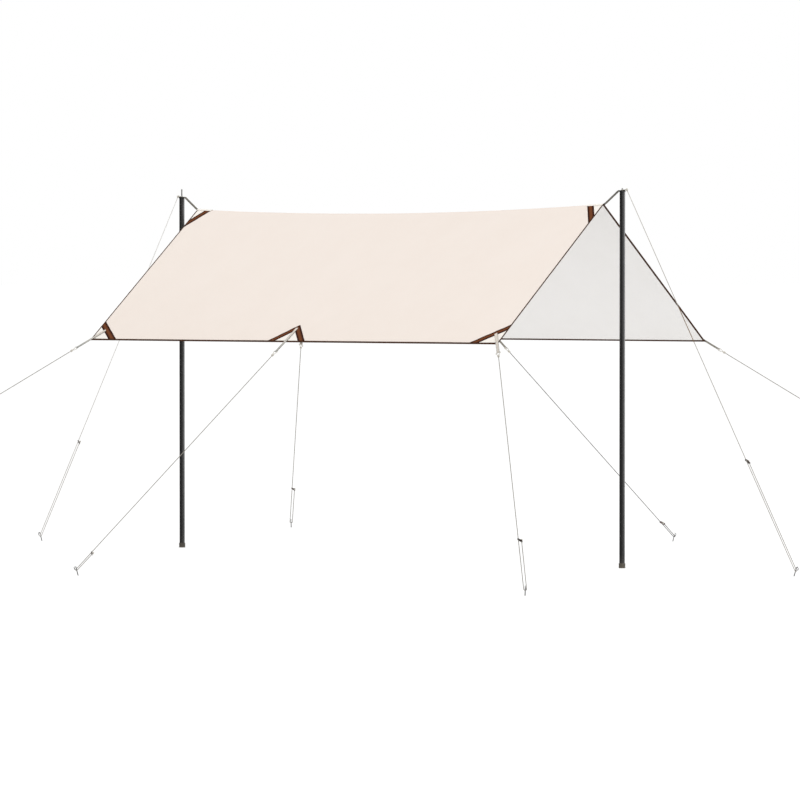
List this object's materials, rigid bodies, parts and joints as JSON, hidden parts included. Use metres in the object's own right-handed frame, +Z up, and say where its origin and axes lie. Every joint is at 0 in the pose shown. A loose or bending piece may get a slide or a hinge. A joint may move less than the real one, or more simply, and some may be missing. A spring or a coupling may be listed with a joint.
{
  "type": "camping tarp canopy",
  "caption": "Open A-frame camping canopy: a pale coated sheet over a ridge on two black poles, pitched taut with corded ground pegs.",
  "frame": {"origin": "on the ground, midway between the feet of the two poles", "axes": "+X along the ridge towards the right pole, +Y towards the back, +Z up"},
  "size_m": [7.6668, 6.52, 2.716],
  "materials": {
    "coated_cloth": "close polyester weave with a smooth coating, beige outside and pale grey inside",
    "binding_tape": "narrow dark brown folded tape",
    "brown_webbing": "ribbed brown webbing",
    "cream_webbing": "woven cream webbing",
    "grey_webbing": "woven grey webbing",
    "black_paint": "satin black powder coat on steel tube",
    "black_plastic": "moulded plug",
    "foot_rubber": "moulded foot",
    "bright_steel": "bright zinc-plated steel rod",
    "pale_cord": "round braided cord, pale grey",
    "slider_aluminium": "warm grey anodised"
  },
  "bodies": {
    "root": {"back_panel": "coated_cloth", "brace_back_left": "brown_webbing", "brace_back_middle": "brown_webbing", "brace_back_right": "brown_webbing", "brace_front_left": "brown_webbing", "brace_front_middle": "brown_webbing", "brace_front_right": "brown_webbing", "brace_ridge_left": "brown_webbing", "brace_ridge_right": "brown_webbing", "edge_binding": "binding_tape", "front_panel": "coated_cloth", "guy_back_left": "pale_cord", "guy_back_middle": "pale_cord", "guy_back_right": "pale_cord", "guy_front_left": "pale_cord", "guy_front_middle": "pale_cord", "guy_front_right": "pale_cord", "guy_pole_left": "pale_cord", "guy_pole_right": "pale_cord", "peg_back_left": "bright_steel", "peg_back_middle": "bright_steel", "peg_back_right": "bright_steel", "peg_front_left": "bright_steel", "peg_front_middle": "bright_steel", "peg_front_right": "bright_steel", "peg_pole_left": "bright_steel", "peg_pole_right": "bright_steel", "pole_cap_left": "black_plastic", "pole_cap_right": "black_plastic", "pole_foot_left": "foot_rubber", "pole_foot_right": "foot_rubber", "pole_left": "black_paint", "pole_pin_left": "bright_steel", "pole_pin_right": "bright_steel", "pole_right": "black_paint", "slider_back_left": "slider_aluminium", "slider_back_middle": "slider_aluminium", "slider_back_right": "slider_aluminium", "slider_front_left": "slider_aluminium", "slider_front_middle": "slider_aluminium", "slider_front_right": "slider_aluminium", "slider_pole_left": "slider_aluminium", "slider_pole_right": "slider_aluminium", "strap_back_left": "cream_webbing", "strap_back_middle": "cream_webbing", "strap_back_right": "cream_webbing", "strap_front_left": "cream_webbing", "strap_front_middle": "cream_webbing", "strap_front_right": "cream_webbing", "strap_ridge_left": "grey_webbing", "strap_ridge_right": "grey_webbing"}
  },
  "joints": []
}
